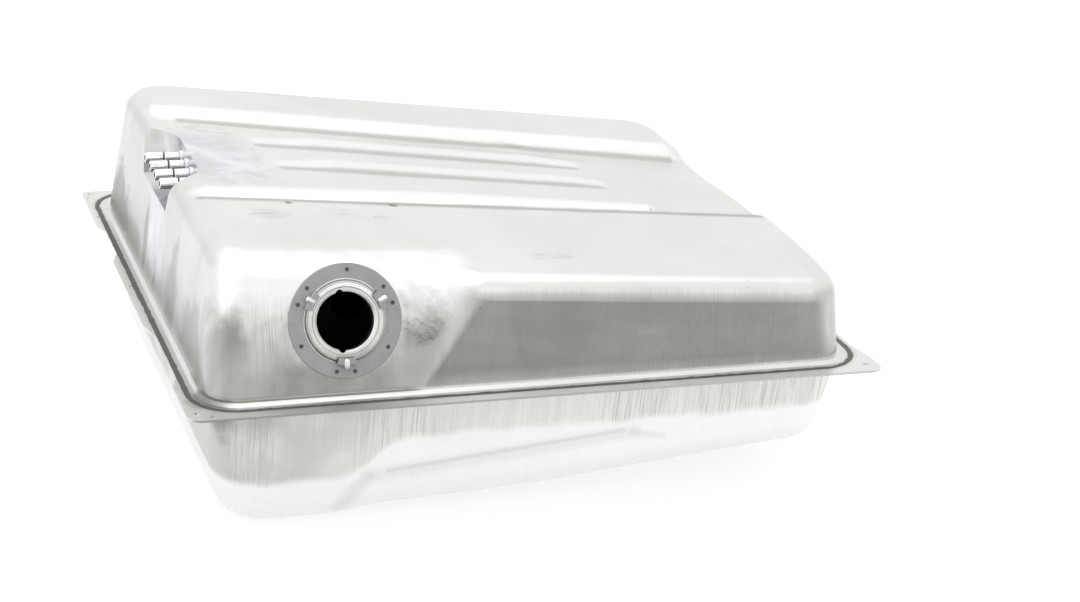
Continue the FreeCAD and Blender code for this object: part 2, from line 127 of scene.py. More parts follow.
# Tones of the terne sheet
SHEET_BRIGHT = (0.815, 0.815, 0.798)
SHEET_DULL = (0.765, 0.765, 0.745)
# Painted shade: the lower shell a little darker than the upper
LOWER_SHADE = (0.755, 0.755, 0.735)
LOWER_DUSKY = (0.50, 0.50, 0.475)
# Painted reflection of the floor on the foot of the lower shell
FOOT_REFLECTION_TONE = (0.88, 0.88, 0.88)
GRAIN_TONE = (0.62, 0.62, 0.60)
RUBBED = (0.42, 0.415, 0.385)
BROAD_TONE = (0.58, 0.58, 0.56)
LEFT_BROAD_TONE = (0.52, 0.52, 0.51)
LEFT_VEIL = (0.60, 0.60, 0.59)
# Painted shade of the left wall, toward the seam and at listed places
LEFT_LOW_SHADE = (0.38, 0.38, 0.37)
LEFT_SHADE = (0.25, 0.25, 0.235)
# Painted shade low on the pad and painted highlight high on it
PAD_SHADE = (0.27, 0.27, 0.25)
PAD_HIGHLIGHT = (0.97, 0.97, 0.97)
# Painted shade in the valley by the pad
VALLEY_SHADE_TONE = (0.30, 0.30, 0.29)
FRONT_PATCH = (0.55, 0.55, 0.53)
# Painted shade where the shoulder turns down into the front wall
SHOULDER_SHADE = (0.42, 0.42, 0.40)
# Painted shade: the inside of the lower shell made near black
INSIDE_SHADE = (0.04, 0.04, 0.04)
# Painted highlight on the rib crests and painted shade at their feet
RIB_CREST_HIGHLIGHT = (0.975, 0.975, 0.965)
RIB_FOOT_SHADE = (0.36, 0.36, 0.34)
# Painted shade along the folds of the lower front wall
FOLD_SHADE = (0.45, 0.45, 0.44)
# Painted shade lines on the seat of the sender opening
SEAT_RING_SHADE = (0.25, 0.25, 0.24)
TIN_BRIGHT = (0.82, 0.845, 0.89)
TIN_DULL = (0.64, 0.655, 0.685)
FLECK = (0.22, 0.215, 0.20)
WELD_SPOT = (0.16, 0.155, 0.14)
HEAT_TONE = (0.50, 0.49, 0.46)
TRACK_TONE = (0.135, 0.128, 0.112)


# Camera, floor and light

def make_camera():
    data = bpy.data.cameras.new("camera")
    data.lens = 84.85
    data.sensor_width = 36
    data.clip_start = 0.1
    data.clip_end = 50
    camera = bpy.data.objects.new("camera", data)
    bpy.context.collection.objects.link(camera)
    camera.location = (-0.78902, -2.47246, 1.00570)
    camera.rotation_euler = (math.radians(68.3175), math.radians(-3.6833), math.radians(-18.3162))
    bpy.context.scene.camera = camera
    return camera


def plane_piece(name, size, place, turn=(0, 0, 0)):
    mesh = bpy.data.meshes.new(name)
    bm = bmesh.new()
    bmesh.ops.create_grid(bm, x_segments=1, y_segments=1, size=0.5)
    bmesh.ops.scale(bm, vec=(size[0], size[1], 1), verts=bm.verts)
    bm.to_mesh(mesh)
    bm.free()
    piece = bpy.data.objects.new(name, mesh)
    bpy.context.collection.objects.link(piece)
    piece.location = place
    piece.rotation_euler = [math.radians(a) for a in turn]
    return piece


def plain_material(name, colour, roughness, glow=0.0):
    material = bpy.data.materials.new(name)
    material.use_nodes = True
    shader = material.node_tree.nodes["Principled BSDF"]
    shader.inputs["Base Color"].default_value = (*colour, 1)
    shader.inputs["Roughness"].default_value = roughness
    shader.inputs["Emission Color"].default_value = (*colour, 1)
    shader.inputs["Emission Strength"].default_value = glow
    return material


def area_light(name, place, aim, size, power):
    data = bpy.data.lights.new(name, "AREA")
    data.shape = "RECTANGLE"
    data.size, data.size_y = size
    data.energy = power
    lamp = bpy.data.objects.new(name, data)
    bpy.context.collection.objects.link(lamp)
    lamp.location = place
    lamp.rotation_euler = (Vector(aim) - Vector(place)).to_track_quat("-Z", "Y").to_euler()
    return lamp


def make_studio():
    floor = plane_piece("floor", (14, 14), (0, 1.5, cad_box[0][2] - 0.0005))
    floor.data.materials.append(plain_material("floor", (0.46, 0.46, 0.46), 0.8, 1.30))
    card = plane_piece("dark_card", (3.0, 1.6), (0.34, -1.419, cad_box[0][2] + 0.002), (0, 0, -11.55))
    card.data.materials.append(plain_material("dark_card", (0.20, 0.195, 0.165), 0.9))
    area_light("overhead", (-0.2, 0.2, 2.6), (0, 0, 0), (3.2, 2.4), 20)
    area_light("left_side", (-2.6, -0.9, 1.3), (0, 0, 0.05), (1.4, 1.8), 6)
    area_light("front_high", (0.9, -3.2, 2.2), (0, 0, 0.05), (2.6, 1.2), 5)
    world = bpy.data.worlds.new("studio")
    world.use_nodes = True
    world.node_tree.nodes["Background"].inputs["Color"].default_value = (1, 1, 1, 1)
    world.node_tree.nodes["Background"].inputs["Strength"].default_value = 1.0
    bpy.context.scene.world = world
    bpy.context.scene.view_settings.view_transform = "Standard"


# Steps that the finishes share

def new_group(name, inputs, outputs):
    group = bpy.data.node_groups.new(name, "ShaderNodeTree")
    for title, kind, value in inputs:
        socket = group.interface.new_socket(title, in_out="INPUT", socket_type=kind)
        if value is not None:
            socket.default_value = value
    for title, kind in outputs:
        group.interface.new_socket(title, in_out="OUTPUT", socket_type=kind)
    return group, group.nodes.new("NodeGroupInput"), group.nodes.new("NodeGroupOutput")


def maths(tree, operation, a, b=None, c=None, clamp=False):
    node = tree.nodes.new("ShaderNodeMath")
    node.operation = operation
    node.use_clamp = clamp
    for socket, value in zip(node.inputs, (a, b, c)):
        if value is None:
            continue
        if isinstance(value, (int, float)):
            socket.default_value = value
        else:
            tree.links.new(value, socket)
    return node.outputs[0]


def vector_maths(tree, operation, a, b=None):
    node = tree.nodes.new("ShaderNodeVectorMath")
    node.operation = operation
    for socket, value in zip(node.inputs, (a, b)):
        if value is None:
            continue
        if isinstance(value, (tuple, list)):
            socket.default_value = value
        else:
            tree.links.new(value, socket)
    single = operation in ("LENGTH", "DISTANCE", "DOT_PRODUCT")
    return node.outputs["Value" if single else "Vector"]


def parts_of(tree, vector):
    node = tree.nodes.new("ShaderNodeSeparateXYZ")
    tree.links.new(vector, node.inputs[0])
    return node.outputs


def stretched(tree, vector, factors):
    return vector_maths(tree, "MULTIPLY", vector, factors)


def times(tree, first, *others):
    product = first
    for value in others:
        product = maths(tree, "MULTIPLY", product, value)
    return product


def less(tree, mask, amount):
    """One, lowered by a share of a mask."""
    return maths(tree, "MULTIPLY_ADD", mask, -amount, 1.0)


def remap(tree, value, low, high, to_low=0.0, to_high=1.0, smooth=True):
    node = tree.nodes.new("ShaderNodeMapRange")
    node.interpolation_type = "SMOOTHSTEP" if smooth else "LINEAR"
    tree.links.new(value, node.inputs["Value"])
    node.inputs["From Min"].default_value = low
    node.inputs["From Max"].default_value = high
    node.inputs["To Min"].default_value = to_low
    node.inputs["To Max"].default_value = to_high
    return node.outputs["Result"]


def noise(tree, vector, scale, detail=3.0, roughness=0.55, distortion=0.0):
    node = tree.nodes.new("ShaderNodeTexNoise")
    tree.links.new(vector, node.inputs["Vector"])
    node.inputs["Scale"].default_value = scale
    node.inputs["Detail"].default_value = detail
    node.inputs["Roughness"].default_value = roughness
    node.inputs["Distortion"].default_value = distortion
    return node.outputs["Fac"]


def mixed(tree, factor, a, b):
    node = tree.nodes.new("ShaderNodeMix")
    node.data_type = "RGBA"
    if isinstance(factor, (int, float)):
        node.inputs["Factor"].default_value = factor
    else:
        tree.links.new(factor, node.inputs["Factor"])
    for socket, value in ((node.inputs["A"], a), (node.inputs["B"], b)):
        if isinstance(value, (tuple, list)):
            socket.default_value = (*value, 1)
        else:
            tree.links.new(value, socket)
    return node.outputs["Result"]


def toned(tree, colour, tone, *shares):
    """Colour drawn toward a tone where all its shares are high."""
    return mixed(tree, times(tree, *shares), colour, tone)


# Draw marks: fine streaks that run up the walls, and along the top

def draw_marks_group():
    group, inside, outside = new_group(
        "draw marks",
        [("Position", "NodeSocketVector", None), ("Facing", "NodeSocketVector", None)],
        [("Streaks", "NodeSocketFloat"), ("Broad", "NodeSocketFloat"), ("Wall", "NodeSocketFloat")])
    place = parts_of(group, inside.outputs["Position"])
    side = parts_of(group, inside.outputs["Facing"])
    wall = remap(group, maths(group, "ABSOLUTE", side["Z"]), 0.72, 0.35)
    sideways = maths(group, "ABSOLUTE", side["X"])
    front = maths(group, "GREATER_THAN", maths(group, "ABSOLUTE", side["Y"]), sideways)
    along = maths(group, "MULTIPLY_ADD", maths(group, "SUBTRACT", place["X"], place["Y"]), front, place["Y"])
    spot = group.nodes.new("ShaderNodeCombineXYZ")
    group.links.new(along, spot.inputs["X"])
    group.links.new(times(group, front, 3.7), spot.inputs["Y"])
    group.links.new(place["Z"], spot.inputs["Z"])
    fine = noise(group, stretched(group, spot.outputs[0], (1, 1, 0.022)), 640, 3, 0.65)
    broad = noise(group, stretched(group, spot.outputs[0], (1, 1, 0.12)), 60, 3, 0.6)
    group.links.new(fine, outside.inputs["Streaks"])
    group.links.new(broad, outside.inputs["Broad"])
    group.links.new(wall, outside.inputs["Wall"])
    return group


# Weld track: distance from the rounded seam line

def weld_track_group():
    group, inside, outside = new_group(
        "weld track", [("Position", "NodeSocketVector", None)],
        [("Track", "NodeSocketFloat"), ("Heat", "NodeSocketFloat")])
    place = parts_of(group, inside.outputs["Position"])
    x = maths(group, "SUBTRACT", maths(group, "ABSOLUTE", place["X"]), SEAM_HALF[0] - SEAM_CORNER)
    y = maths(group, "SUBTRACT", maths(group, "ABSOLUTE", place["Y"]), SEAM_HALF[1] - SEAM_CORNER)
    past_x = maths(group, "MAXIMUM", x, 0)
    past_y = maths(group, "MAXIMUM", y, 0)
    squares = maths(group, "ADD", times(group, past_x, past_x), times(group, past_y, past_y))
    flat = maths(group, "MINIMUM", maths(group, "MAXIMUM", x, y), 0)
    reach = maths(group, "ADD", maths(group, "SQRT", squares), flat)
    reach = maths(group, "ABSOLUTE", maths(group, "SUBTRACT", reach, SEAM_CORNER))
    level = remap(group, maths(group, "ABSOLUTE", place["Z"]), 0.0035, 0.0022)
    wander = maths(group, "SUBTRACT", noise(group, inside.outputs["Position"], 90, 2), 0.5)
    edge = maths(group, "ADD", reach, times(group, wander, 0.0025))
    track = times(group, remap(group, edge, TRACK_HALF, TRACK_HALF - 0.0011), level)
    heat = times(group, remap(group, edge, TRACK_HALF + 0.005, TRACK_HALF), level)
    group.links.new(track, outside.inputs["Track"])
    group.links.new(heat, outside.inputs["Heat"])
    return group


# Marks at one place: a mask that fades with distance

def patch_group():
    group, inside, outside = new_group(
        "patch",
        [("Position", "NodeSocketVector", None), ("Centre", "NodeSocketVector", (0.0, 0.0, 0.0)),
         ("Reach", "NodeSocketVector", (1.0, 1.0, 1.0)), ("Ragged", "NodeSocketFloat", 0.3)],
        [("Mask", "NodeSocketFloat")])
    offset = vector_maths(group, "SUBTRACT", inside.outputs["Position"], inside.outputs["Centre"])
    scaled = vector_maths(group, "DIVIDE", offset, inside.outputs["Reach"])
    wander = maths(group, "SUBTRACT", noise(group, inside.outputs["Position"], 38, 4), 0.5)
    ragged = times(group, wander, inside.outputs["Ragged"])
    far = maths(group, "ADD", vector_maths(group, "LENGTH", scaled), ragged)
    group.links.new(remap(group, far, 1.0, 0.55), outside.inputs["Mask"])
    return group


def line_group():
    group, inside, outside = new_group(
        "line",
        [("Position", "NodeSocketVector", None), ("Start", "NodeSocketVector", (0.0, 0.0, 0.0)),
         ("End", "NodeSocketVector", (1.0, 0.0, 0.0)), ("Weight", "NodeSocketVector", (1.0, 1.0, 0.3)),
         ("Half Width", "NodeSocketFloat", 0.005)],
        [("Mask", "NodeSocketFloat")])
    reach = vector_maths(group, "SUBTRACT", inside.outputs["Position"], inside.outputs["Start"])
    line = vector_maths(group, "SUBTRACT", inside.outputs["End"], inside.outputs["Start"])
    share = maths(group, "DIVIDE", vector_maths(group, "DOT_PRODUCT", reach, line),
                  vector_maths(group, "DOT_PRODUCT", line, line), clamp=True)
    scaled = group.nodes.new("ShaderNodeVectorMath")
    scaled.operation = "SCALE"
    group.links.new(line, scaled.inputs[0])
    group.links.new(share, scaled.inputs["Scale"])
    off = vector_maths(group, "SUBTRACT", reach, scaled.outputs["Vector"])
    flat = vector_maths(group, "MULTIPLY", off, inside.outputs["Weight"])
    wander = maths(group, "MULTIPLY_ADD", noise(group, inside.outputs["Position"], 16, 2), 0.9, 0.55)
    width = times(group, inside.outputs["Half Width"], wander)
    near = maths(group, "DIVIDE", vector_maths(group, "LENGTH", flat), width)
    group.links.new(remap(group, near, 1.25, 0.15), outside.inputs["Mask"])
    return group


def use_group(tree, group, **links):
    node = tree.nodes.new("ShaderNodeGroup")
    node.node_tree = group
    for title, value in links.items():
        if isinstance(value, (tuple, list, int, float)):
            node.inputs[title].default_value = value
        else:
            tree.links.new(value, node.inputs[title])
    return node.outputs


def start_material(name):
    material = bpy.data.materials.new(name)
    material.use_nodes = True
    tree = material.node_tree
    place = tree.nodes.new("ShaderNodeTexCoord").outputs["Object"]
    facing = tree.nodes.new("ShaderNodeNewGeometry").outputs["Normal"]
    return material, tree, tree.nodes["Principled BSDF"], place, facing


def bump(tree, shader, height, distance, strength):
    node = tree.nodes.new("ShaderNodeBump")
    node.inputs["Distance"].default_value = distance
    node.inputs["Strength"].default_value = strength
    tree.links.new(height, node.inputs["Height"])
    tree.links.new(node.outputs["Normal"], shader.inputs["Normal"])


def masked(tree, groups, place, patch, ragged=0.3):
    node = use_group(tree, groups["patch"], Position=place, Centre=patch[0], Reach=patch[1], Ragged=ragged)
    return node["Mask"]


def lined(tree, groups, place, line, half_width, **weight):
    node = use_group(tree, groups["line"], Position=place, Start=line[0], End=line[1], **weight,
                     **{"Half Width": half_width})
    return node["Mask"]


# Finish of the two stampings

def sheet_masks(tree, groups, place, facing):
    """Masks of the parts of the stampings, of the marks that drawing left on them, and of the foot where a
    reflection of the floor is painted.
    """
    marks = use_group(tree, groups["draw"], Position=place, Facing=facing)
    spot = parts_of(tree, place)
    side = parts_of(tree, facing)
    left = remap(tree, side["X"], -0.55, -0.9)
    below = remap(tree, spot["Z"], -0.004, -0.008)
    # Painted reflection of the floor: the foot of the lower shell, reaching higher toward the right, is made
    # near white and kept clear of streaks
    reflection_edge = maths(tree, "ADD", spot["Z"], remap(tree, spot["X"], -0.13, -0.20, 0.046, 0.088))
    reflection_edge = maths(tree, "ADD", reflection_edge, maths(tree, "MULTIPLY_ADD", noise(tree, place, 30, 3), 0.012, -0.006))
    floor_reflection = remap(tree, reflection_edge, 0.004, -0.008)
    foot_reflection = times(tree, floor_reflection, below)
    worn = remap(tree, noise(tree, stretched(tree, place, (1, 1, 0.3)), 9, 2), 0.42, 0.62)
    streak = times(tree, remap(tree, marks["Streaks"], 0.42, 0.7), marks["Wall"],
                   maths(tree, "MULTIPLY_ADD", worn, 0.75, 0.25), less(tree, left, 0.75),
                   less(tree, floor_reflection, 1.0))
    broad = times(tree, remap(tree, marks["Broad"], 0.38, 0.68), marks["Wall"],
                  less(tree, left, 0.75), less(tree, foot_reflection, 0.9))
    edge = maths(tree, "MULTIPLY_ADD", spot["Z"], -0.5, spot["X"])
    pad = times(tree, remap(tree, edge, -0.118, -0.140), remap(tree, spot["Y"], -0.215, -0.235),
                remap(tree, spot["Z"], 0.002, 0.006))
    ragged = maths(tree, "MULTIPLY_ADD", noise(tree, place, 22, 4, 0.6, 0.6), 0.06, -0.03)
    return {
        "marks": marks, "spot": spot, "side": side, "left": left, "below": below, "foot": foot_reflection,
        "streak": streak, "broad": broad, "pad": pad, "level": maths(tree, "ADD", spot["Z"], ragged),
        "grain": noise(tree, place, 260, 3, 0.7), "above": remap(tree, spot["Z"], 0.004, 0.008),
    }


def wall_tones(tree, place, masks):
    """Clouded sheet, painted shade on the lower shell with a dusky band toward its left, a painted reflection
    of the floor on its foot, and the streaks of the draw.
    """
    cloud = noise(tree, place, 7, 4, 0.6, 0.4)
    colour = mixed(tree, remap(tree, cloud, 0.35, 0.7), SHEET_BRIGHT, SHEET_DULL)
    # Painted shade on the lower shell
    colour = toned(tree, colour, LOWER_SHADE, masks["below"], 0.9)
    dusky = remap(tree, noise(tree, place, 14, 3), 0.3, 0.6)
    colour = toned(tree, colour, LOWER_DUSKY, remap(tree, masks["spot"]["X"], -0.12, -0.26), dusky,
                   masks["below"], masks["marks"]["Wall"], 0.75)
    # Painted reflection of the floor on the foot
    colour = toned(tree, colour, FOOT_REFLECTION_TONE, masks["foot"], 0.95)
    colour = toned(tree, colour, GRAIN_TONE, remap(tree, masks["grain"], 0.5, 0.75), 0.18)
    colour = toned(tree, colour, RUBBED, masks["streak"], 0.72)
    colour = toned(tree, colour, BROAD_TONE, masks["broad"], 0.30)
    return toned(tree, colour, LEFT_BROAD_TONE, masks["broad"], masks["left"], 0.55)


def pad_and_left_tones(tree, groups, place, masks, colour):
    """Sender pad with a painted highlight above and painted shade below, mixed with smudges; painted shade in
    the front left corner and the valley by the pad, low on the left wall and at listed places on it; and a
    clouded veil on its upper part.
    """
    smudge = remap(tree, noise(tree, stretched(tree, place, (1, 1, 0.35)), 26, 4, 0.6, 0.8), 0.48, 0.66)
    # Painted shade low on the pad, mixed with smudges
    low_pad_shade = maths(tree, "MAXIMUM", remap(tree, masks["level"], 0.072, 0.010), times(tree, smudge, 0.42))
    # Painted shade down the front left corner
    corner = masked(tree, groups, place, FRONT_LEFT_CORNER_SHADE, 0.6)
    dim = maths(tree, "MAXIMUM", times(tree, masks["pad"], low_pad_shade), corner)
    colour = toned(tree, colour, PAD_SHADE, dim, 0.95)
    # Painted highlight high on the pad
    colour = toned(tree, colour, PAD_HIGHLIGHT, masks["pad"], remap(tree, masks["level"], 0.075, 0.105), 0.8)
    # Painted shade: the left wall darker toward the seam
    colour = toned(tree, colour, LEFT_LOW_SHADE, masks["left"], remap(tree, masks["level"], 0.075, 0.012),
                   remap(tree, masks["spot"]["Z"], 0.001, 0.004), 0.7)
    cloudy = noise(tree, stretched(tree, place, (1, 1, 0.4)), 11, 4, 0.6, 0.6)
    upper_left = times(tree, masks["left"], remap(tree, masks["spot"]["Z"], 0.001, 0.006))
    colour = toned(tree, colour, LEFT_VEIL, remap(tree, cloudy, 0.30, 0.68, 0.25, 0.75), upper_left)
    # Painted shade at the listed places on the left wall
    for centre, reach, dark in WALL_SHADES:
        shade = masked(tree, groups, place, (centre, reach), 1.2)
        colour = toned(tree, colour, LEFT_SHADE, shade, upper_left, dark)
    # Painted shade in the valley between the pad and the front wall
    valley = masked(tree, groups, place, PAD_VALLEY_SHADE, 1.0)
    return toned(tree, colour, VALLEY_SHADE_TONE, valley, masks["pad"], 0.75)


def front_tones(tree, place, facing, masks, colour):
    """Patches of the front wall, painted shade on its shoulder, and painted shade on the inside of the lower
    shell.
    """
    patchy = remap(tree, noise(tree, stretched(tree, place, (1, 1, 0.6)), 9, 4, 0.6, 0.5), 0.40, 0.66)
    front = times(tree, masks["marks"]["Wall"], masks["above"], remap(tree, masks["spot"]["Y"], -0.27, -0.285))
    colour = toned(tree, colour, FRONT_PATCH, patchy, front, 0.6)
    # Painted shade where the shoulder turns down into the front wall
    shoulder = times(tree, remap(tree, masks["side"]["Z"], 0.80, 0.25),
                     remap(tree, masks["side"]["Y"], -0.3, -0.6), masks["above"], less(tree, masks["pad"], 1.0))
    colour = toned(tree, colour, SHOULDER_SHADE, shoulder, 0.40)
    # Painted shade: sheet of the lower shell that faces inward is made near black
    inward = remap(tree, vector_maths(tree, "DOT_PRODUCT", place, facing), 0.0, -0.01)
    return toned(tree, colour, INSIDE_SHADE, inward, masks["below"])


def pressed_lines(tree, groups, place, colour):
    """Painted highlights on the crests and painted shade at the feet of the long ribs, painted shade along the
    folds of the lower front wall, and rubbed marks.
    """
    shift = Vector((0, RIB_LIGHT_SHIFT, 0))
    for start, end, half_width, dark in RIB_FEET:
        lifted = (tuple(Vector(start) + shift), tuple(Vector(end) + shift))
        # Painted highlight on each crest, then painted shade at the foot
        colour = toned(tree, colour, RIB_CREST_HIGHLIGHT, lined(tree, groups, place, lifted, 0.013), dark)
        colour = toned(tree, colour, RIB_FOOT_SHADE, lined(tree, groups, place, (start, end), half_width), dark)
    for start, end, half_width, dark in WALL_FOLDS:
        # Painted shade along each fold
        fold = lined(tree, groups, place, (start, end), half_width, Weight=(1, 0.15, 1))
        colour = toned(tree, colour, FOLD_SHADE, fold, dark)
    slant = vector_maths(tree, "ADD", stretched(tree, place, (0.5, 1.3, 1)), (0.3, 0.1, 0.2))
    rubbed = remap(tree, noise(tree, slant, 46, 5, 0.62, 1.6), 0.42, 0.62)
    for patch in SMUDGES:
        colour = toned(tree, colour, RUBBED, masked(tree, groups, place, patch, 1.6), rubbed, 0.42)
    return colour


def seat_ring_shades(tree, place, colour):
    """Painted shade lines on the rolled seat of the sender opening, standing in for its stepped rings."""
    offset = vector_maths(tree, "SUBTRACT", place, tuple(SENDER_CENTRE))
    out = vector_maths(tree, "LENGTH", vector_maths(tree, "CROSS_PRODUCT", offset, tuple(SENDER_AXIS)))
    # Painted shade: fine dark bands across the seat inside the ring
    close = remap(tree, vector_maths(tree, "LENGTH", offset), 0.046, 0.043)
    rings = maths(tree, "PINGPONG", maths(tree, "ADD", out, 0.0006), 0.0024)
    rings = remap(tree, rings, 0.0007, 0.0)
    return toned(tree, colour, SEAT_RING_SHADE, remap(tree, out, 0.0412, 0.0404), close, rings)


def weld_marks(tree, groups, place, colour):
    """Specks, the spot welds on the top, and the track of the seam weld with its heat tint."""
    colour = toned(tree, colour, FLECK, remap(tree, noise(tree, place, 190, 1, 0.5), 0.80, 0.84), 0.55)
    for centre in TOP_WELDS:
        colour = toned(tree, colour, WELD_SPOT, masked(tree, groups, place, (centre, WELD_REACH), 1.2), 0.75)
    track = use_group(tree, groups["track"], Position=place)
    colour = toned(tree, colour, HEAT_TONE, track["Heat"], 0.35)
    return toned(tree, colour, TRACK_TONE, track["Track"], 0.92), track["Track"]


def sheet_relief(tree, groups, place, masks):
    """Height of the fine relief: streaks, flutes of the walls, the dent in the top and the creased pad."""
    marks = masks["marks"]
    height = maths(tree, "ADD", times(tree, marks["Streaks"], marks["Wall"]), times(tree, masks["grain"], 0.25))
    calm = maths(tree, "MAXIMUM", masks["left"], masks["below"])
    height = maths(tree, "ADD", height, times(tree, marks["Broad"], marks["Wall"], less(tree, calm, 0.8), 2.5))
    height = maths(tree, "SUBTRACT", height, times(tree, masked(tree, groups, place, TOP_DENT, 0.4), 9.0))
    creases = noise(tree, stretched(tree, place, (1.5, 1, 0.6)), 34, 3, 0.5, 1.0)
    return maths(tree, "ADD", height, times(tree, masked(tree, groups, place, PAD_CREASES, 0.4), creases, 26.0))


def terne_material(name, groups):
    material, tree, shader, place, facing = start_material(name)
    masks = sheet_masks(tree, groups, place, facing)
    colour = wall_tones(tree, place, masks)
    colour = pad_and_left_tones(tree, groups, place, masks, colour)
    colour = front_tones(tree, place, facing, masks, colour)
    colour = pressed_lines(tree, groups, place, colour)
    colour = seat_ring_shades(tree, place, colour)
    tinned = maths(tree, "MAXIMUM", masked(tree, groups, place, TIN_ROUND_VENTS, 0.9),
                   masked(tree, groups, place, TIN_RUNS, 0.9))
    wiped = noise(tree, stretched(tree, place, (1, 1, 0.35)), 26, 5, 0.62, 0.7)
    tin = mixed(tree, remap(tree, wiped, 0.38, 0.62), TIN_BRIGHT, TIN_DULL)
    colour = toned(tree, colour, tin, tinned, 0.8)
    colour, track = weld_marks(tree, groups, place, colour)
    tree.links.new(colour, shader.inputs["Base Color"])

    scuff = noise(tree, stretched(tree, place, (0.25, 1, 1)), 40, 5, 0.7, 0.8)
    rough = maths(tree, "ADD", remap(tree, scuff, 0.4, 0.75, 0.33, 0.38), times(tree, masks["streak"], 0.10))
    rough = maths(tree, "ADD", rough, times(tree, track, 0.25))
    rough = maths(tree, "SUBTRACT", rough, times(tree, tinned, 0.05), clamp=True)
    tree.links.new(rough, shader.inputs["Roughness"])
    shader.inputs["Metallic"].default_value = 1.0
    bump(tree, shader, sheet_relief(tree, groups, place, masks), 0.0004, 0.4)
    return material


# Finishes of the ring, tubes and inner pieces

def ring_dots_group():
    group, inside, outside = new_group(
        "ring weld dots", [("Position", "NodeSocketVector", None)], [("Dots", "NodeSocketFloat")])
    near = None
    for lug in RING_LUGS:
        for offset in RING_WELD_TURNS:
            angle = math.radians(lug + offset)
            out = Vector((1, 0, 0)) * math.cos(angle) + SENDER_UP * math.sin(angle)
            point = SENDER_CENTRE + out * RING_WELD_R
            far = vector_maths(group, "DISTANCE", inside.outputs["Position"], tuple(point))
            near = far if near is None else maths(group, "MINIMUM", near, far)
    group.links.new(remap(group, near, 0.0034, 0.0020), outside.inputs["Dots"])
    return group


def ring_material(groups):
    material, tree, shader, place, facing = start_material("ring grey")
    cloud = noise(tree, place, 60, 4, 0.6)
    grain = noise(tree, place, 900, 2, 0.6)
    dots = use_group(tree, groups["dots"], Position=place)
    colour = mixed(tree, remap(tree, cloud, 0.3, 0.7), (0.325, 0.335, 0.335), (0.385, 0.395, 0.39))
    colour = mixed(tree, remap(tree, grain, 0.58, 0.75, 0.0, 0.35), colour, (0.52, 0.52, 0.515))
    colour = toned(tree, colour, (0.05, 0.05, 0.048), dots["Dots"], 0.9)
    tree.links.new(colour, shader.inputs["Base Color"])
    tree.links.new(remap(tree, cloud, 0.3, 0.7, 0.42, 0.55), shader.inputs["Roughness"])
    shader.inputs["Metallic"].default_value = 0.4
    bump(tree, shader, grain, 0.00025, 0.4)
    return material


def bright_material(name, colour, roughness, groups, joints=False):
    material, tree, shader, place, facing = start_material(name)
    cloud = noise(tree, place, 80, 3, 0.6)
    speck = noise(tree, place, 500, 2, 0.6)
    dark = tuple(c * 0.8 for c in colour)
    tone = mixed(tree, remap(tree, cloud, 0.35, 0.7), colour, dark)
    if joints:
        off_joint = maths(tree, "ABSOLUTE", maths(tree, "SUBTRACT", parts_of(tree, place)["X"], VENT_JOINT_X))
        gap = remap(tree, off_joint, 0.0014, 0.0006)
        down = maths(tree, "ADD", parts_of(tree, facing)["Z"], maths(tree, "MULTIPLY_ADD", cloud, 0.5, -0.25))
        # Painted shade on the undersides of the tubes
        underside_shade = times(tree, remap(tree, down, 0.02, -0.30), 0.9)
        tone = mixed(tree, maths(tree, "MAXIMUM", gap, underside_shade), tone, (0.07, 0.07, 0.075))
    tree.links.new(tone, shader.inputs["Base Color"])
    rough = remap(tree, cloud, 0.3, 0.7, roughness - 0.05, roughness + 0.08)
    tree.links.new(rough, shader.inputs["Roughness"])
    shader.inputs["Metallic"].default_value = 1.0
    bump(tree, shader, speck, 0.0002, 0.3)
    return material


# New pieces

def solder_bead(i, material):
    """Uneven ring of solder where a vent tube leaves the pocket wall."""
    bm = bmesh.new()
    place = Matrix.Translation((0, BEAD_R, 0)) @ Matrix.Rotation(math.pi / 2, 4, "Z")
    bmesh.ops.create_circle(bm, segments=12, radius=BEAD_SECTION_R, matrix=place)
    bmesh.ops.spin(bm, geom=list(bm.verts) + list(bm.edges), cent=(0, 0, 0), axis=(1, 0, 0),
                   angle=2 * math.pi, steps=32, use_merge=True)
    for vert in bm.verts:
        turn = math.atan2(vert.co.z, vert.co.y)
        swell = 1 + 0.10 * math.sin(3 * turn + i) + 0.07 * math.sin(7 * turn + 2 * i)
        vert.co.x *= 1.5 * swell
        vert.co.y *= 0.92 + 0.10 * swell
        vert.co.z *= 0.92 + 0.10 * swell
    bmesh.ops.translate(bm, vec=(POCKET_WALL_X - 0.0026, VENT_Y[i], VENT_Z), verts=bm.verts)
    bmesh.ops.recalc_face_normals(bm, faces=bm.faces)
    return finish_piece(bm, "solder_bead_%d" % (i + 1), material, 60)


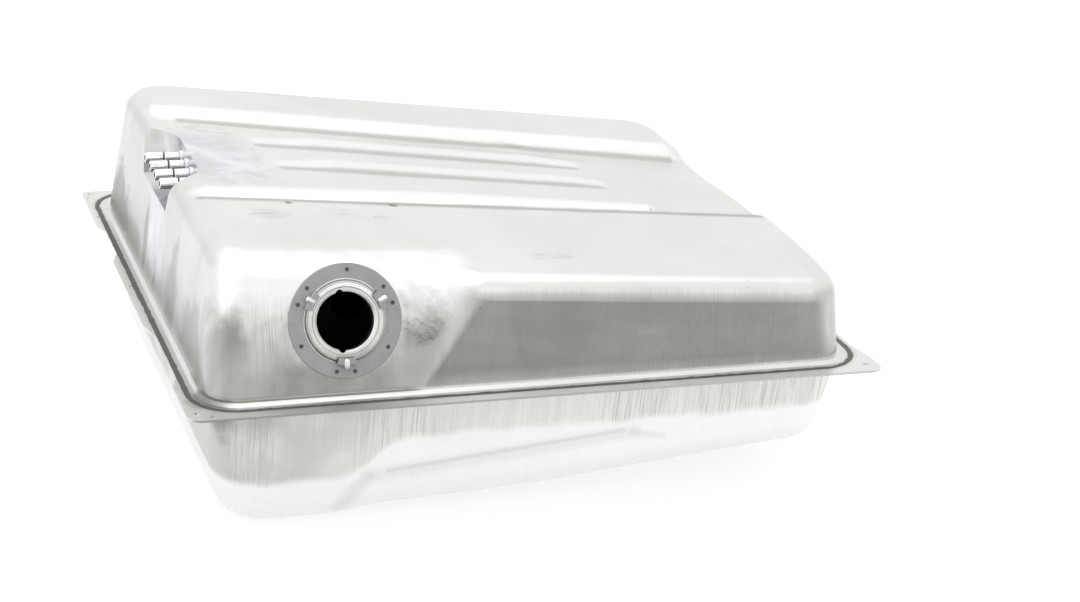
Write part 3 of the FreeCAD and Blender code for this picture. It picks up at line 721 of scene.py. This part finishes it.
def top_heights(solid):
    """Heights of the pressed top on a regular grid, its tight corners eased a little."""
    columns = int(round((PANEL_X[1] - PANEL_X[0]) / PANEL_STEP[0])) + 1
    rows = int(round((PANEL_Y[1] - PANEL_Y[0]) / PANEL_STEP[1])) + 1
    heights = np.zeros((columns, rows))
    for i in range(columns):
        for j in range(rows):
            x = PANEL_X[0] + i * PANEL_STEP[0]
            y = PANEL_Y[0] + j * PANEL_STEP[1]
            hit = solid.ray_cast(Vector((x, y, 0.3)), Vector((0, 0, -1)))[0]
            heights[i, j] = hit.z if hit else 0
    foot, crest = [int(round((y - PANEL_Y[0]) / PANEL_STEP[1])) for y in RAMP_Y]
    ramp = np.linspace(0, 1, crest - foot + 1)
    slope = heights[:, foot:foot + 1] * (1 - ramp) + heights[:, crest:crest + 1] * ramp
    heights[:, foot:crest + 1] = np.maximum(heights[:, foot:crest + 1], slope)
    eased = np.pad(heights, 1, mode="edge")
    eased = np.maximum(np.maximum(eased[1:-1, :-2], eased[1:-1, 2:]), heights)
    for axis, passes in ((1, 3), (0, 2)):
        for _ in range(passes):
            before = np.roll(eased, 1, axis)
            after = np.roll(eased, -1, axis)
            if axis:
                before[:, 0], after[:, -1] = eased[:, 0], eased[:, -1]
            else:
                before[0], after[-1] = eased[0], eased[-1]
            eased = (before + 2 * eased + after) / 4
    return np.maximum(eased, heights + 0.00005)


def make_top_panel(material):
    """Finished surface of the ribbed top: an even sheet on the stamping, tucked into it along its rim."""
    bm = bmesh.new()
    bm.from_mesh(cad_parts["upper_shell"].data)
    solid = BVHTree.FromBMesh(bm)
    bm.free()
    heights = top_heights(solid)
    columns, rows = heights.shape
    bm = bmesh.new()
    bmesh.ops.create_grid(bm, x_segments=columns - 1, y_segments=rows - 1, size=0.5)
    for vert in bm.verts:
        i = int(round((vert.co.x + 0.5) * (columns - 1)))
        j = int(round((vert.co.y + 0.5) * (rows - 1)))
        x = PANEL_X[0] + i * PANEL_STEP[0]
        y = PANEL_Y[0] + j * PANEL_STEP[1]
        inland = min(x - PANEL_X[0], PANEL_X[1] - x, y - PANEL_Y[0], PANEL_Y[1] - y, notch_reach(x, y))
        rise = (PANEL_PROUD + 0.0001) * min(1, max(0, inland) / PANEL_FADE) - 0.0001
        rise += 0.0014 * math.exp(-((x - 0.110) / 0.022) ** 2 - ((y - 0.150) / 0.009) ** 2)
        vert.co = Vector((x, y, heights[i, j] + rise))
    spare = [f for f in bm.faces if notch_reach(*f.calc_center_median().xy) < 0]
    bmesh.ops.delete(bm, geom=spare, context="FACES")
    for vert in [v for v in bm.verts if v.is_boundary]:
        vert.co.z -= 0.0005
    bmesh.ops.solidify(bm, geom=bm.faces, thickness=0.0003)
    bmesh.ops.recalc_face_normals(bm, faces=bm.faces)
    return finish_piece(bm, "top_panel", material, 80)


def notch_reach(x, y):
    """How far a place lies from the notch over the sunk vent pocket, below 0 inside it."""
    return max(x - NOTCH_X, NOTCH_Y[0] - y, y - NOTCH_Y[1])


def turned_piece(name, profile, place, axis, material):
    """Piece turned from a closed profile of along and radius points, set at a place on an axis."""
    bm = bmesh.new()
    verts = [bm.verts.new((along, radius, 0)) for along, radius in profile]
    edges = [bm.edges.new((verts[i - 1], verts[i])) for i in range(len(verts))]
    bmesh.ops.spin(bm, geom=verts + edges, cent=(0, 0, 0), axis=(1, 0, 0), angle=2 * math.pi,
                   steps=40, use_merge=True)
    turn = Vector((1, 0, 0)).rotation_difference(Vector(axis)).to_matrix().to_4x4()
    bmesh.ops.transform(bm, matrix=Matrix.Translation(place) @ turn, verts=bm.verts)
    bmesh.ops.recalc_face_normals(bm, faces=bm.faces)
    return finish_piece(bm, name, material)


def finish_piece(bm, name, material, sharp=35):
    mesh = bpy.data.meshes.new(name)
    bm.to_mesh(mesh)
    bm.free()
    mesh.shade_smooth()
    mesh.set_sharp_from_angle(angle=math.radians(sharp))
    mesh.materials.append(material)
    piece = bpy.data.objects.new(name, mesh)
    bpy.context.collection.objects.link(piece)
    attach(piece, "root")
    return piece


def vent_ferrule(i, material):
    """Collar on a vent tube between its sleeve and the solder."""
    profile = [(0, 0.0043), (0, 0.0050), (0.0008, 0.0056), (0.0150, 0.0056), (0.0158, 0.0050), (0.0158, 0.0043)]
    place = (FERRULE_X, VENT_Y[i], VENT_Z)
    return turned_piece("vent_ferrule_%d" % (i + 1), profile, place, (1, 0, 0), material)


def lug_bead(i, material):
    """Pressed bead that stiffens a hooked lug of the ring."""
    angle = math.radians(RING_LUGS[i])
    out = Vector((1, 0, 0)) * math.cos(angle) + SENDER_UP * math.sin(angle)
    across = SENDER_AXIS.cross(out)
    bm = bmesh.new()
    bmesh.ops.create_uvsphere(bm, u_segments=24, v_segments=12, radius=LUG_BEAD_R)
    for vert in bm.verts:
        x, y, z = vert.co
        if abs(x) > 0.0001:
            x += math.copysign(LUG_BEAD_R, x)
        vert.co = SENDER_CENTRE + out * (RING_BORE - 0.0004 + x)
        vert.co += across * y * 1.15 + SENDER_AXIS * (LUG_TOP + z * 0.75 - 0.0003)
    bmesh.ops.recalc_face_normals(bm, faces=bm.faces)
    return finish_piece(bm, "lug_bead_%d" % (i + 1), material, 60)


def dress(node, material):
    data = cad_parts[node].data
    data.materials.clear()
    data.materials.append(material)


make_camera()
make_studio()
groups = {"draw": draw_marks_group(), "track": weld_track_group(), "patch": patch_group(), "line": line_group(),
          "dots": ring_dots_group()}
terne = terne_material("terne sheet", groups)
# Painted shade: the sheet pieces inside the tank are made near black
inner = bright_material("inner sheet", (0.10, 0.10, 0.098), 0.5, groups)
tube = bright_material("vent tube", (0.90, 0.90, 0.91), 0.16, groups, True)
for node in ("upper_shell", "lower_shell"):
    dress(node, terne)
make_top_panel(terne)
dress("sender_ring", ring_material(groups))
dress("filler_collar", bright_material("filler collar", (0.78, 0.78, 0.77), 0.30, groups))
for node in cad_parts:
    if node.startswith("vent_tube") or node.startswith("vent_sleeve"):
        dress(node, tube)
    elif node.startswith("vent_clip") or node == "baffle":
        dress(node, inner)
solder = bright_material("solder", (0.86, 0.87, 0.89), 0.24, groups)
for i in range(len(VENT_Y)):
    solder_bead(i, solder)
    vent_ferrule(i, tube)
for i in range(len(RING_LUGS)):
    lug_bead(i, solder)
